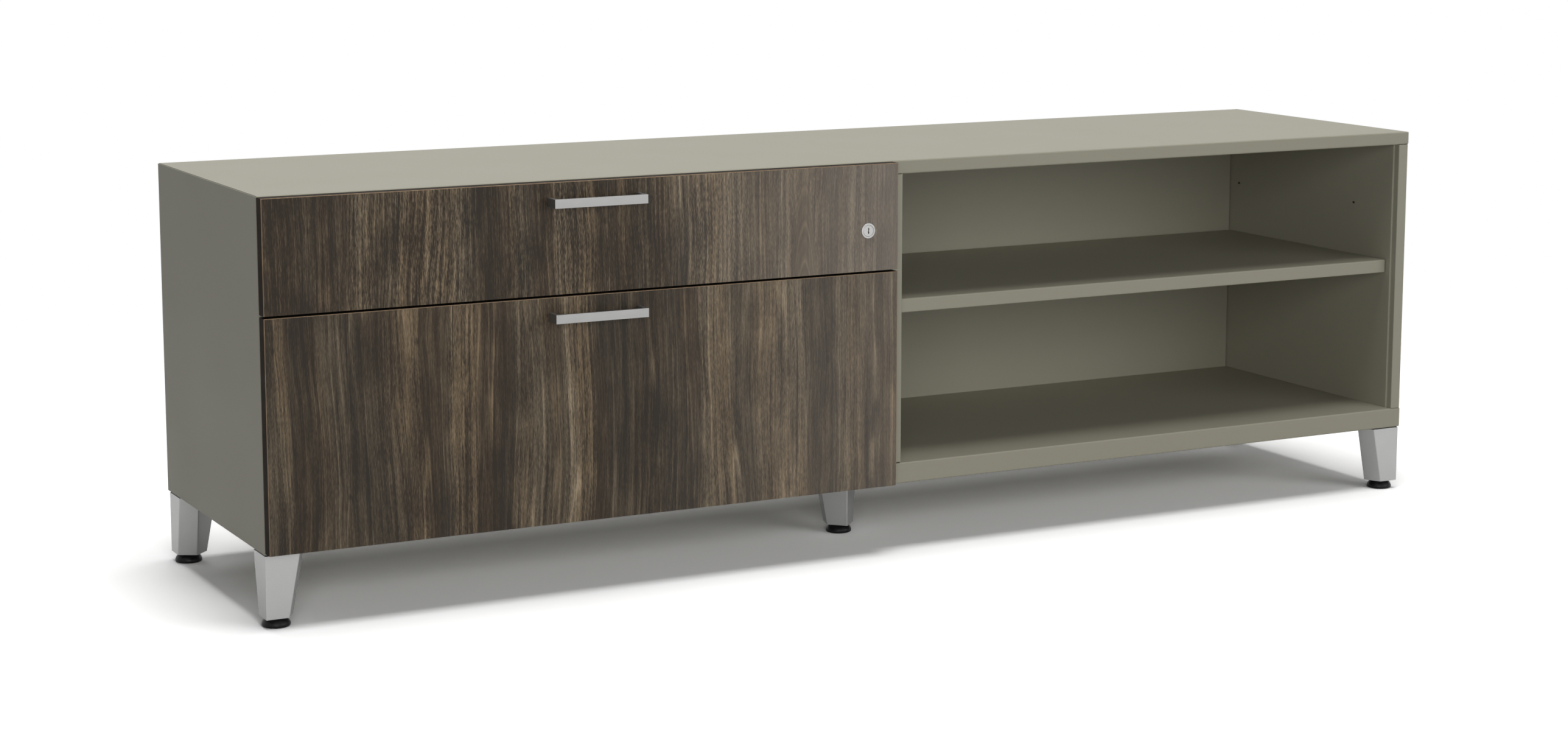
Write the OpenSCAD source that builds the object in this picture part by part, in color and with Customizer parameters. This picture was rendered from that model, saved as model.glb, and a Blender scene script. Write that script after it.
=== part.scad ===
// Office credenza: a folded steel case on five cast legs, with two overlay drawers
// in its left half and an open bay with one adjustable shelf in its right half.
// Millimetres. X runs to the right, Y to the back, Z up. The origin lies on the floor,
// at the middle of the overall width and depth.

/* [Case] */
// Overall width of the case
overall_w = 1828.8; // [1500:0.1:2200]
// Depth of the steel case, without the drawer fronts
case_d = 438.15; // [425:0.05:600]
// Height of the steel case, without the legs
case_h = 460.4; // [450:0.1:600]
// Thickness of the steel sheet of the outer panels
sheet = 1.2; // [0.8:0.1:1.6]
// Outer radius of the bends in the outer panels
bend_r = 2; // [1.8:0.1:3]
// Height of the front fascia of the top panel
fascia_h = 19.1; // [15:0.1:19.4]
// Height of the front fascia of the bottom panel
base_h = 29.6; // [24:0.1:40]
// Width of the stiffening lips under the top and bottom panels
return_w = 13; // [8:0.5:15]
// Seam between neighbouring panels
seam = 0.5; // [0.2:0.1:0.8]
// Drop of the side panels' top edge below the top panel
side_drop = 0.6; // [0.2:0.1:1.5]

/* [Walls] */
// Thickness of the double side walls
wall_t = 19.6; // [19.4:0.1:28]
// Width of the side panels' front and rear flanges
flange_w = 17.2; // [12:0.1:17.4]
// Thickness of the hemmed front flanges
hem_t = 1.8; // [1.6:0.1:2.4]
// Depth of the lips turned back from the side panels' front flanges
flange_lip = 10; // [6:0.5:13]
// Thickness of the liner sheet
liner_t = 1; // [0.8:0.1:1.4]
// Thickness of the centre partition
partition_t = 38.1; // [30:0.1:50]
// Gap under the front flange of the partition
partition_gap = 1.6; // [0.8:0.1:3]
// Thickness of the hollow back panels
back_t = 14; // [10:0.5:20]
// Gap between a back panel and the walls beside it
back_gap = 1.3; // [0.8:0.1:2]

/* [Inner frame] */
// Width of the stiffeners under the top panel
stiffener_w = 60; // [40:1:90]
// Gap between a stiffener and the lips of the top panel
stiffener_gap = 0.5; // [0.2:0.1:1.5]
// Width of the channels that carry the legs
rail_w = 76; // [72:1:100]
// Thickness of the steel of those channels
rail_t = 2; // [1.5:0.1:3]
// Height of the rail between the two drawers
divider_h = 16; // [12:0.5:18]
// Depth of the rail between the two drawers
divider_d = 20; // [12:0.5:30]

/* [Legs and glides] */
// Height of a cast leg
leg_h = 84; // [60:0.5:150]
// Width of a leg's outer faces at the top
leg_top_w = 47; // [40:0.5:50]
// Width of a leg's outer faces at the bottom
leg_bottom_w = 31; // [28:0.5:38]
// How far a leg's side facets spread inwards
leg_flare = 13; // [8:0.5:16]
// How far back a leg's side facets reach
leg_side = 24; // [20:0.5:28]
// Thickness of the plate between leg and case
plate_t = 1.5; // [1:0.1:3]
// Inset of the plate from the leg's faces
plate_inset = 1.5; // [0.5:0.1:3]
// Inset of the front legs from the case front
leg_front_inset = 2.1; // [0.5:0.1:8]
// Inset of the rear legs from the case back
leg_back_inset = 9.6; // [2:0.1:20]
// Distance from the case front to the centre leg's front corner
centre_leg_y = 121.7; // [100:0.1:240]
// Distance of a glide's axis from the leg's outer faces
glide_inset = 18.8; // [18.7:0.1:20]
// Largest radius of a glide
glide_r = 18.6; // [16:0.1:18.6]
// Height of a glide below the leg
glide_h = 12.9; // [10:0.1:14]
// Radius of a glide's threaded stem
stem_r = 5; // [4:0.1:6]
// Length of a glide's stem
stem_l = 24; // [20:0.5:30]
// Radius of the bolts that hold the legs
leg_bolt_r = 3.9; // [3:0.1:4]
// Depth of those bolts in the leg
leg_bolt_l = 18; // [12:0.5:24]

/* [Drawer fronts] */
// Thickness of a laminate drawer front
front_t = 18; // [16:0.1:20]
// Gap between the drawer fronts and the case
front_gap = 1.05; // [1.05:0.05:2]
// Height of the upper drawer front
upper_front_h = 148.8; // [146:0.1:152]
// Gap between the case top and the upper front
reveal_top = 0.9; // [0.6:0.1:3]
// Gap between the case bottom and the lower front
reveal_bottom = 2.8; // [1:0.1:6]
// Gap between the two fronts
front_split = 3; // [2:0.1:5]
// How far the fronts cover the partition
front_overlap = 19.5; // [17:0.1:20]

/* [Drawer boxes] */
// Thickness of the drawer sheet
box_t = 1; // [0.8:0.1:1.4]
// Depth of the steel pan behind a drawer front
pan_d = 11; // [9:0.5:12]
// Clearance between a pan and the rails above and below it
pan_gap = 3; // [2:0.5:4]
// Gap between a drawer box and the back panel
box_rear_gap = 23; // [8:0.5:30]
// Height of the upper drawer box
upper_box_h = 95; // [70:1:100]
// Height of the lower drawer box
lower_box_h = 229; // [180:1:235]
// Lift of a drawer box above the lower edge of its pan
box_lift = 5; // [3:0.5:8]
// Width of the lip along the top of a box side
box_lip = 6; // [3:0.5:8]
// Height of a hanging-file rail
file_rail_h = 16; // [10:0.5:20]
// Thickness of a hanging-file rail
file_rail_t = 2; // [1.5:0.1:3]
// Spacing of the hanging-file rails
file_rail_spacing = 322; // [318:1:325]
// Gap between the pan and the front hanging-file rail
file_rail_offset = 30; // [20:1:40]
// Radius of a rubber bumper
bumper_r = 4; // [3:0.1:5]
// Distance of a bumper from the board's upper and lower edges
bumper_inset = 30; // [22:0.5:50]
// Clearance between a bumper and the case
bumper_gap = 0.05; // [0.02:0.01:0.2]

/* [Drawer slides] */
// Gap between a slide and the back panel
slide_rear_gap = 10; // [4:0.5:30]
// Width of a closed slide
slide_w = 12.7; // [12.7:0.1:14]
// Height of a slide
slide_h = 45; // [45:0.5:50]
// Thickness of the slide steel
slide_t = 1.5; // [1.2:0.1:1.6]
// Clearance between the slide members
slide_gap = 0.3; // [0.2:0.05:0.4]
// Distance from the case front to a slide
slide_setback = 14; // [13:0.5:18]
// Height of a slide's centre above the bottom of its box
slide_rise = 28; // [24:0.5:40]

/* [Pulls] */
// Length of a pull
pull_l = 133.5; // [96:0.5:200]
// Height of a pull
pull_h = 12.1; // [10:0.1:16]
// Reach of a pull from the drawer front
pull_reach = 26; // [20:0.5:36]
// Thickness of a pull's front bar
pull_bar_t = 4.5; // [3:0.1:8]
// Width of a pull's arms
pull_arm_w = 5.5; // [5:0.1:10]
// Radius of the round inner corners of a pull
pull_inner_r = 6; // [2:0.5:8]
// Distance from a front's top edge to its pull's centre
pull_drop = 25.8; // [25.5:0.1:40]
// Distance of the pulls to the left of the fronts' centre
pull_shift = 4.1; // [0:0.1:30]
// Radius of a pull screw
pull_screw_r = 1.6; // [1.2:0.1:1.8]
// Depth of a pull screw in the pull
pull_screw_l = 10; // [6:0.5:14]

/* [Lock] */
// Distance from the upper front's right edge to the lock
lock_inset = 47.8; // [46:0.1:50]
// Distance from the upper front's top edge to the lock
lock_drop = 92.2; // [70:0.1:95]
// Radius of the lock's front ring
lock_ring_r = 10.8; // [10:0.1:13]
// Thickness of the ring in front of the drawer front
lock_ring_t = 1.6; // [1:0.1:3]
// Radius of the lock barrel
lock_barrel_r = 9.5; // [9:0.1:9.8]
// Radius of the turning plug
lock_plug_r = 8; // [7:0.1:8.4]
// Length of the lock cam
cam_l = 36; // [35:0.5:40]
// Width of the lock cam
cam_w = 12; // [8:0.5:12]
// Thickness of the lock cam
cam_t = 2.5; // [2:0.1:3]
// Height of the key slot
key_h = 8; // [6:0.1:10]
// Width of the key slot
key_w = 1.5; // [1:0.1:2.5]

/* [Shelf] */
// Height of the shelf's top above the underside of the case
shelf_z = 261; // [200:0.5:300]
// Height of the shelf's edges
shelf_edge_h = 19.7; // [14:0.1:30]
// Thickness of the shelf sheet
shelf_t = 1; // [0.8:0.1:1.6]
// Distance from the case front to the shelf
shelf_setback = 20; // [10:0.5:60]
// Gap between the shelf and the walls at its ends
shelf_end_gap = 2.4; // [1.5:0.1:4]
// Gap between the shelf and the back
shelf_back_gap = 2.5; // [1:0.1:6]
// Width of the lips under the shelf's front and rear edges
shelf_return = 10; // [5:0.5:11]
// Distance from one row of slots to the next
slot_pitch = 101.5; // [50:0.5:130]
// Distance from the case front to the front row of slots
slot_front_y = 103.7; // [90:0.1:120]
// Distance from the rear row of slots to the back panel
slot_rear_gap = 21.3; // [12:0.1:60]
// Length of a shelf slot
slot_l = 6; // [5:0.1:10]
// Height of a shelf slot
slot_h = 3; // [2.5:0.1:5]
// Reach of a shelf clip from its wall
clip_reach = 12; // [8:0.5:16]
// Width of a shelf clip
clip_w = 14; // [10:0.5:20]

/* [Hidden] */
$fn = 64;

// Colours
paint = [0.60, 0.59, 0.53];
liner_paint = [0.52, 0.51, 0.46];
laminate = [0.28, 0.23, 0.20];
satin = [0.72, 0.72, 0.72];
cast = [0.66, 0.66, 0.66];
zinc = [0.70, 0.72, 0.74];
black = [0.05, 0.05, 0.05];

// How far a cutting solid runs past what it cuts
past = 1;
// Clearance of a fixed round piece in its hole
fit = 0.05;

// Main planes
half_w = overall_w / 2;
total_d = case_d + front_gap + front_t + pull_reach;
back_y = total_d / 2;
case_y = back_y - case_d;
board_y = case_y - front_gap;
face_y = board_y - front_t;
base_z = glide_h + leg_h + plate_t;
top_z = base_z + case_h;
deck_z = base_z + base_h;
fascia_z = top_z - fascia_h;
liner_x = half_w - wall_t;
part_x = partition_t / 2;
pan_half = half_w - sheet - seam;
rear_face_y = back_y - back_t;
wall_top_z = fascia_z - seam;

// Drawer fronts
front_left_x = -half_w;
front_right_x = front_overlap - part_x;
front_mid_x = (front_left_x + front_right_x) / 2;
upper_top_z = top_z - reveal_top;
upper_bottom_z = upper_top_z - upper_front_h;
lower_top_z = upper_bottom_z - front_split;
lower_bottom_z = base_z + reveal_bottom;
split_z = (upper_bottom_z + lower_top_z) / 2;

// Drawer boxes between the slides
drawer_sag = 3;
box_left_x = -liner_x + slide_w;
box_right_x = -part_x - slide_w;
pan_back_y = case_y + pan_d;
box_back_y = rear_face_y - box_rear_gap;
upper_pan_bottom_z = split_z + divider_h / 2 + pan_gap;
upper_pan_top_z = fascia_z - pan_gap;
lower_pan_bottom_z = deck_z + pan_gap + drawer_sag;
lower_pan_top_z = split_z - divider_h / 2 - pan_gap;
upper_box_z = upper_pan_bottom_z + box_lift;
lower_box_z = lower_pan_bottom_z + box_lift;

// Slides: heights, length and the three nested members, from the case to the drawer
upper_slide_z = upper_box_z + slide_rise;
lower_slide_z = lower_box_z + slide_rise;
slide_y = case_y + slide_setback;
slide_l = rear_face_y - slide_rear_gap - slide_y;
mid_h = slide_h - 2 * slide_t - 2 * slide_gap;
inner_h = mid_h - 2 * slide_t - 2 * slide_gap;
ball_w = 3;
case_reach = slide_w - ball_w;
mid_web = slide_t + ball_w;
mid_reach = slide_w - slide_t - slide_gap;
drawer_reach = slide_t + slide_gap + ball_w;

// Pulls and lock
pull_x = front_mid_x - pull_shift;
pull_arm_x = (pull_l - pull_arm_w) / 2;
pull_head_r = 3;
pull_head_t = 2.5;
lock_x = front_right_x - lock_inset;
lock_z = upper_top_z - lock_drop;
lock_end_gap = 0.3;
barrel_back_y = case_y + hem_t + front_gap;
cam_y = barrel_back_y + lock_end_gap;
hub_proud = 1.2;
plug_back_y = cam_y + cam_t + hub_proud;
plug_front_y = face_y - lock_ring_t + lock_end_gap;
cam_hub_r = 4;
lock_nut_t = 3;
lock_nut_r = 13;
key_depth = 12;
cam_play = 2;
lock_slot_y = case_y + hem_t + lock_end_gap;
lock_slot_w = cam_y + cam_t + cam_play - lock_slot_y;

// How far below its pivot the turning cam reaches where it crosses a wall's plane
function cam_drop(x) = sqrt(pow(cam_l, 2) - pow(x - lock_x, 2));

// Legs
leg_bolt_far = 38;
leg_bolt_near = 21;
leg_bolt_play = 1;
leg_bolt_head_r = 6.5;
leg_bolt_head_h = 4.5;
stem_play = 2;
dome_r = 10.5;
dome_z = 4;
leg_edge = 0.4;

// Shelf and clips
shelf_under_z = base_z + shelf_z - shelf_edge_h;
slot_rows = [case_y + slot_front_y, rear_face_y - slot_rear_gap];
clip_t = 2;
clip_tail = 3;
slot_fit = 0.2;

// Plain rectangle with round corners, made of true arcs
module rounded_rect(w, d, r) {
    translate([r, 0]) square([w - 2 * r, d]);
    translate([0, r]) square([w, d - 2 * r]);
    for (x = [r, w - r], y = [r, d - r])
        translate([x, y]) circle(r);
}

// Section of a folded pan: a flat web on top, flanges at both ends and lips below
module pan_section(d, h, t, lip) {
    difference() {
        rounded_rect(d, h, bend_r);
        translate([t, t]) rounded_rect(d - 2 * t, h - 2 * t, bend_r - t);
        translate([lip, -past]) square([d - 2 * lip, t + 2 * past]);
    }
}

// Extrudes a section drawn in Y and Z along X
module along_x(x0, x1) {
    translate([x0, 0, 0]) rotate([90, 0, 90]) linear_extrude(x1 - x0) children();
}

// Box given by its low and high corners
module box(low, high) {
    translate(low) cube(high - low);
}

// Round bar along Y from y0 to y1
module bar_y(x, z, y0, y1, r) {
    translate([x, y0, z]) rotate([-90, 0, 0]) cylinder(h = y1 - y0, r = r);
}

// Folded pan that spans the case, with a front fascia over the full width
module case_pan(z, h) {
    along_x(-pan_half, pan_half)
        translate([case_y, z]) pan_section(case_d, h, sheet, return_w);
    along_x(-half_w, half_w) intersection() {
        translate([case_y, z]) pan_section(case_d, h, sheet, return_w);
        translate([case_y, z]) square([sheet, h]);
    }
    for (side = [-1, 1])
        box([side > 0 ? pan_half - sheet : -pan_half, case_y + sheet, z],
            [side > 0 ? pan_half : sheet - pan_half, back_y - sheet, z + h - sheet]);
}

module top_panel() {
    color(paint) case_pan(fascia_z, fascia_h);
}

module bottom_panel() {
    color(paint) case_pan(base_z, base_h);
}

// Channel along Y with its web at the bottom and its two flanges standing up
module channel_y(x, y0, y1, z0, z1, w, t) {
    difference() {
        box([x - w / 2, y0, z0], [x + w / 2, y1, z1]);
        box([x - w / 2 + t, y0 - past, z0 + t], [x + w / 2 - t, y1 + past, z1 + past]);
    }
}

module top_stiffeners() {
    bay_mid = (part_x + liner_x) / 2;
    color(liner_paint) for (x = [-bay_mid, bay_mid])
        channel_y(x, case_y + sheet + bend_r, back_y - sheet - bend_r,
            fascia_z + sheet + stiffener_gap, top_z - sheet, stiffener_w, sheet);
}

module base_rails() {
    end_x = pan_half - sheet - seam - rail_w / 2;
    color(liner_paint) difference() {
        for (x = [-end_x, 0, end_x])
            channel_y(x, case_y + return_w + seam, back_y - return_w - seam,
                base_z, deck_z - sheet, rail_w, rail_t);
        for (i = [0:4])
            at_leg(i) translate([0, 0, base_z - past]) leg_bolt_places()
                cylinder(h = rail_t + 2 * past, r = leg_bolt_r + fit);
    }
}

// Plan of an outer side panel, with its outer face at x = 0 and its inside towards +x
module skin_plan() {
    intersection() {
        difference() {
            rounded_rect(flange_w + 2 * bend_r, case_d, bend_r);
            translate([sheet, hem_t]) square([wall_t, case_d - hem_t - sheet]);
        }
        square([flange_w, case_d]);
    }
    translate([flange_w - sheet, sheet]) square([sheet, flange_lip - sheet]);
}

// Left outer side panel, notched for the two fascias and the pans' rear flanges
module side_panel() {
    front_clear = sheet + seam;
    difference() {
        translate([-half_w, case_y, base_z])
            linear_extrude(case_h - side_drop) skin_plan();
        for (z = [[base_z - past, deck_z + seam], [fascia_z - seam, top_z + past]]) {
            box([-half_w - past, case_y - past, z[0]],
                [-liner_x, case_y + front_clear, z[1]]);
            box([-half_w + sheet, case_y - past, z[0]], [-liner_x, back_y + past, z[1]]);
        }
    }
}

module side_panel_left() {
    color(paint) side_panel();
}

module side_panel_right() {
    color(paint) mirror([1, 0, 0]) side_panel();
}

// Plan of the left liner: web along the bay, and flanges towards the outer panel, the
// front one behind the outer panel's lip
module liner_plan() {
    outer_x = -half_w + sheet + seam;
    front = case_y + flange_lip;
    rear = back_y - sheet;
    difference() {
        union() {
            translate([outer_x, front]) square([-liner_x - outer_x - bend_r, rear - front]);
            translate([outer_x, front + bend_r])
                square([-liner_x - outer_x, rear - front - bend_r]);
            translate([-liner_x - bend_r, front + bend_r]) circle(bend_r);
        }
        translate([outer_x - past, front + liner_t])
            square([-liner_x - outer_x + past - liner_t, rear - front - 2 * liner_t]);
    }
}

// Holes for the shelf clips, at two heights, through a wall between x0 and x1
module shelf_slots(x0, x1) {
    for (y = slot_rows, z = [shelf_under_z, shelf_under_z + slot_pitch])
        translate([x0, y - slot_l / 2, z - slot_h]) cube([x1 - x0, slot_l, slot_h]);
}

module side_liner_left() {
    color(liner_paint) translate([0, 0, deck_z])
        linear_extrude(fascia_z - deck_z) liner_plan();
}

module side_liner_right() {
    color(liner_paint) difference() {
        mirror([1, 0, 0]) translate([0, 0, deck_z])
            linear_extrude(fascia_z - deck_z) liner_plan();
        shelf_slots(liner_x - past, liner_x + liner_t + past);
    }
}

// Hollow partition with hemmed front flange, shelf slots and a slot for the lock's cam
module centre_partition() {
    color(paint) difference() {
        translate([-part_x, case_y, deck_z]) linear_extrude(fascia_z - deck_z)
            difference() {
                rounded_rect(partition_t, case_d, bend_r);
                translate([sheet, hem_t])
                    square([partition_t - 2 * sheet, case_d - hem_t - sheet]);
            }
        for (z = [[deck_z - past, deck_z + partition_gap], [wall_top_z, fascia_z + past]])
            box([-part_x - past, case_y - past, z[0]], [part_x + past, case_y + hem_t, z[1]]);
        shelf_slots(part_x - sheet - past, part_x + past);
        box([-part_x - past, lock_slot_y, lock_z - cam_drop(-part_x) - cam_play],
            [-part_x + sheet + past, lock_slot_y + lock_slot_w, lock_z + cam_w / 2 + cam_play]);
    }
}

// Hollow back panel between x0 and x1, open at its top and bottom edges
module back_panel(x0, x1) {
    w = x1 - x0 - 2 * back_gap;
    color(paint) translate([x0 + back_gap, rear_face_y, deck_z])
        linear_extrude(wall_top_z - deck_z) difference() {
            rounded_rect(w, back_t, bend_r);
            translate([sheet, sheet]) square([w - 2 * sheet, back_t - 2 * sheet]);
        }
}

module back_panel_left() {
    back_panel(-liner_x, -part_x);
}

module back_panel_right() {
    back_panel(part_x, liner_x);
}

// Channel between the left wall and the partition, open to the back
module divider_rail() {
    y0 = case_y + hem_t + liner_t;
    z0 = split_z - divider_h / 2;
    color(liner_paint) difference() {
        box([-liner_x, y0, z0], [-part_x, y0 + divider_d, z0 + divider_h]);
        box([-liner_x - past, y0 + sheet, z0 + sheet],
            [-part_x + past, y0 + divider_d + past, z0 + divider_h - sheet]);
    }
}

// One clip: a ledge in the bay and a tail through the slot; side is the way out of the wall
module shelf_clip(x, y, side) {
    z = shelf_under_z;
    tail_l = slot_l - 2 * slot_fit;
    ledge_x = side > 0 ? x : x - clip_reach;
    tail_x = side > 0 ? x - clip_tail : x;
    box([ledge_x, y - clip_w / 2, z - clip_t], [ledge_x + clip_reach, y + clip_w / 2, z]);
    box([tail_x, y - tail_l / 2, z - clip_t], [tail_x + clip_tail, y + tail_l / 2, z - slot_fit]);
}

module shelf_clips() {
    color(zinc) for (y = slot_rows) {
        shelf_clip(part_x, y, 1);
        shelf_clip(liner_x, y, -1);
    }
}

// Plan of a leg from its outer corner: two outer faces, two side facets and an inner face
function leg_outline(w, side) =
    [[0, 0], [w, 0], [w + leg_flare, side], [side, w + leg_flare], [0, w]];

// Places a leg-shaped piece: 0 to 3 are the corners, 4 is the centre
module at_leg(i) {
    corner_x = (i == 0 || i == 2) ? -half_w : half_w;
    corner_y = i < 2 ? case_y + leg_front_inset : back_y - leg_back_inset;
    turn = [0, 90, -90, 180, 45];
    place = i == 4 ? [0, case_y + centre_leg_y, 0] : [corner_x, corner_y, 0];
    translate(place) rotate(turn[i]) children();
}

module leg_bolt_places() {
    for (p = [[leg_bolt_far, leg_bolt_near], [leg_bolt_near, leg_bolt_far]])
        translate(p) children();
}

// Solid cast leg with a bore for the glide's stem and two bores for its bolts
module leg(i) {
    color(cast) at_leg(i) difference() {
        hull() {
            translate([0, 0, glide_h + leg_h - leg_edge])
                linear_extrude(leg_edge) polygon(leg_outline(leg_top_w, leg_side));
            translate([0, 0, glide_h])
                linear_extrude(leg_edge) polygon(leg_outline(leg_bottom_w, leg_side));
        }
        translate([glide_inset, glide_inset, glide_h - past])
            cylinder(h = stem_l + stem_play + past, r = stem_r + fit);
        translate([0, 0, glide_h + leg_h - leg_bolt_l]) leg_bolt_places()
            cylinder(h = leg_bolt_l + past, r = leg_bolt_r + fit);
    }
}

module leg_plates() {
    w = leg_top_w - 2 * plate_inset;
    side = leg_side - 2 * plate_inset;
    color(black) for (i = [0:4]) at_leg(i) difference() {
        translate([plate_inset, plate_inset, glide_h + leg_h])
            linear_extrude(plate_t) polygon(leg_outline(w, side));
        translate([0, 0, glide_h + leg_h - past]) leg_bolt_places()
            cylinder(h = plate_t + 2 * past, r = leg_bolt_r + fit);
    }
}

// Bolts that rest on the channels' webs and run down into the legs
module leg_bolts() {
    web_z = base_z + rail_t;
    bottom_z = glide_h + leg_h - leg_bolt_l + leg_bolt_play;
    color(zinc) for (i = [0:4]) at_leg(i) leg_bolt_places() {
        translate([0, 0, bottom_z]) cylinder(h = web_z - bottom_z, r = leg_bolt_r);
        translate([0, 0, web_z]) cylinder(h = leg_bolt_head_h, r = leg_bolt_head_r);
    }
}

// Domed glide on a threaded stem
module glide(i) {
    color(black) at_leg(i) translate([glide_inset, glide_inset, 0]) {
        rotate_extrude() {
            square([glide_r - dome_r, glide_h]);
            intersection() {
                translate([glide_r - dome_r, dome_z]) circle(dome_r);
                square([glide_r, glide_h]);
            }
        }
        translate([0, 0, glide_h - past]) cylinder(h = stem_l + past, r = stem_r);
    }
}

// Adjustable shelf: a sheet folded down on all four sides, with lips front and rear
module shelf() {
    x0 = part_x + shelf_end_gap;
    x1 = liner_x - shelf_end_gap;
    y0 = case_y + shelf_setback;
    y1 = rear_face_y - shelf_back_gap;
    z1 = base_z + shelf_z;
    z0 = z1 - shelf_edge_h;
    color(liner_paint) difference() {
        intersection() {
            along_x(x0, x1) translate([y0, z0 - bend_r])
                rounded_rect(y1 - y0, shelf_edge_h + bend_r, bend_r);
            box([x0, y0, z0], [x1, y1, z1]);
        }
        box([x0 + shelf_t, y0 + shelf_t, z0 + shelf_t],
            [x1 - shelf_t, y1 - shelf_t, z1 - shelf_t]);
        box([x0 + shelf_t, y0 + shelf_return, z0 - past],
            [x1 - shelf_t, y1 - shelf_return, z0 + 2 * shelf_t]);
    }
}

// Laminate board between two heights, with holes for its pull's screws
module board(z0, z1) {
    difference() {
        box([front_left_x, face_y, z0], [front_right_x, board_y, z1]);
        for (x = [-pull_arm_x, pull_arm_x])
            bar_y(pull_x + x, z1 - pull_drop, face_y - past, board_y + past,
                pull_screw_r + fit);
    }
}

module upper_front() {
    color(laminate) difference() {
        board(upper_bottom_z, upper_top_z);
        bar_y(lock_x, lock_z, face_y - past, board_y + past, lock_barrel_r + fit);
    }
}

module lower_front() {
    color(laminate) board(lower_bottom_z, lower_top_z);
}

// Steel pan behind a board, open towards it
module front_pan(z0, z1) {
    difference() {
        box([box_left_x, board_y, z0], [box_right_x, pan_back_y, z1]);
        box([box_left_x + box_t, board_y - past, z0 + box_t],
            [box_right_x - box_t, pan_back_y - box_t, z1 - box_t]);
    }
}

// The upper pan's right flange is notched for the lock's cam
module upper_front_pan() {
    color(liner_paint) difference() {
        front_pan(upper_pan_bottom_z, upper_pan_top_z);
        box([box_right_x - 2 * box_t, board_y - past,
            lock_z - cam_drop(box_right_x - 2 * box_t) - cam_play],
            [box_right_x + past, pan_back_y - box_t, lock_z + cam_w / 2 + cam_play]);
    }
}

module lower_front_pan() {
    color(liner_paint) front_pan(lower_pan_bottom_z, lower_pan_top_z);
}

// Drawer tray: bottom and two sides, with a lip turned in along the top of each side
module tray(z, h) {
    difference() {
        box([box_left_x, pan_back_y, z], [box_right_x, box_back_y, z + h]);
        box([box_left_x + box_t, pan_back_y - past, z + box_t],
            [box_right_x - box_t, box_back_y + past, z + h - box_t]);
        box([box_left_x + box_lip, pan_back_y - past, z + h / 2],
            [box_right_x - box_lip, box_back_y + past, z + h + past]);
    }
}

// Back of a drawer, between its sides and under their lips
module tray_back(z, h) {
    box([box_left_x + box_t, box_back_y - box_t, z + box_t],
        [box_right_x - box_t, box_back_y, z + h - box_t]);
}

module upper_tray() {
    color(liner_paint) tray(upper_box_z, upper_box_h);
}

module upper_tray_back() {
    color(liner_paint) tray_back(upper_box_z, upper_box_h);
}

module lower_tray() {
    color(liner_paint) tray(lower_box_z, lower_box_h);
}

module lower_tray_back() {
    color(liner_paint) tray_back(lower_box_z, lower_box_h);
}

// Two bars from side to side that carry hanging files
module file_rails() {
    top = lower_box_z + lower_box_h - box_t;
    y0 = pan_back_y + file_rail_offset;
    color(zinc) for (y = [y0, y0 + file_rail_spacing])
        box([box_left_x + box_t, y, top - file_rail_h],
            [box_right_x - box_t, y + file_rail_t, top]);
}

// Square pull: a front bar and two arms, with round inner corners
module pull(z) {
    inner_l = pull_l - 2 * pull_arm_w;
    color(satin) difference() {
        translate([pull_x - pull_l / 2, face_y - pull_reach, z - pull_h / 2])
            linear_extrude(pull_h) difference() {
                square([pull_l, pull_reach]);
                translate([pull_arm_w, pull_bar_t])
                    rounded_rect(inner_l, 2 * pull_reach, pull_inner_r);
            }
        for (x = [-pull_arm_x, pull_arm_x])
            bar_y(pull_x + x, z, face_y - pull_screw_l - past, face_y + past,
                pull_screw_r + fit);
    }
}

module upper_pull() {
    pull(upper_top_z - pull_drop);
}

module lower_pull() {
    pull(lower_top_z - pull_drop);
}

// Screws from inside the drawer front into the pull's arms
module pull_screws(z) {
    color(zinc) for (x = [pull_x - pull_arm_x, pull_x + pull_arm_x]) {
        bar_y(x, z, face_y - pull_screw_l, board_y, pull_screw_r);
        bar_y(x, z, board_y, board_y + pull_head_t, pull_head_r);
    }
}

module upper_pull_screws() {
    pull_screws(upper_top_z - pull_drop);
}

module lower_pull_screws() {
    pull_screws(lower_top_z - pull_drop);
}

// Rubber discs on the back of a board that meet the case's front flanges
module bumpers(z0, z1) {
    color(black) for (x = [-half_w + flange_w / 2, -part_x / 2],
        z = [z0 + bumper_inset, z1 - bumper_inset])
        bar_y(x, z, board_y, case_y - bumper_gap, bumper_r);
}

module upper_bumpers() {
    bumpers(upper_bottom_z, upper_top_z);
}

module lower_bumpers() {
    bumpers(lower_bottom_z + base_h, lower_top_z);
}

// Section of a slide member from the wall outwards: web between w0 and w0 + t, and
// two flanges between f0 and f1, whose outer faces stand h apart
module slide_section(w0, f0, f1, h) {
    translate([w0, -h / 2]) square([slide_t, h]);
    for (z = [-h / 2, h / 2 - slide_t])
        translate([f0, z]) square([f1 - f0, slide_t]);
}

// Slide member at height z on the left wall or, mirrored, on the partition
module slide_member(z, side) {
    wall = side < 0 ? -liner_x : -part_x;
    color(zinc) translate([wall, slide_y, z]) mirror([side < 0 ? 0 : 1, 0, 0])
        translate([0, slide_l, 0]) rotate([90, 0, 0]) linear_extrude(slide_l) children();
}

module slide_case(z, side) {
    slide_member(z, side) slide_section(0, 0, case_reach, slide_h);
}

module slide_middle(z, side) {
    slide_member(z, side)
        slide_section(mid_web, slide_t + slide_gap, mid_reach, mid_h);
}

module slide_drawer(z, side) {
    slide_member(z, side)
        slide_section(slide_w - slide_t, slide_w - drawer_reach, slide_w, inner_h);
}

// Lock housing: front ring and barrel
module lock_housing() {
    color(satin) difference() {
        union() {
            bar_y(lock_x, lock_z, face_y - lock_ring_t, face_y, lock_ring_r);
            bar_y(lock_x, lock_z, face_y - lock_ring_t, barrel_back_y, lock_barrel_r);
        }
        bar_y(lock_x, lock_z, face_y - lock_ring_t - past, barrel_back_y + past,
            lock_plug_r + fit);
    }
}

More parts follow.
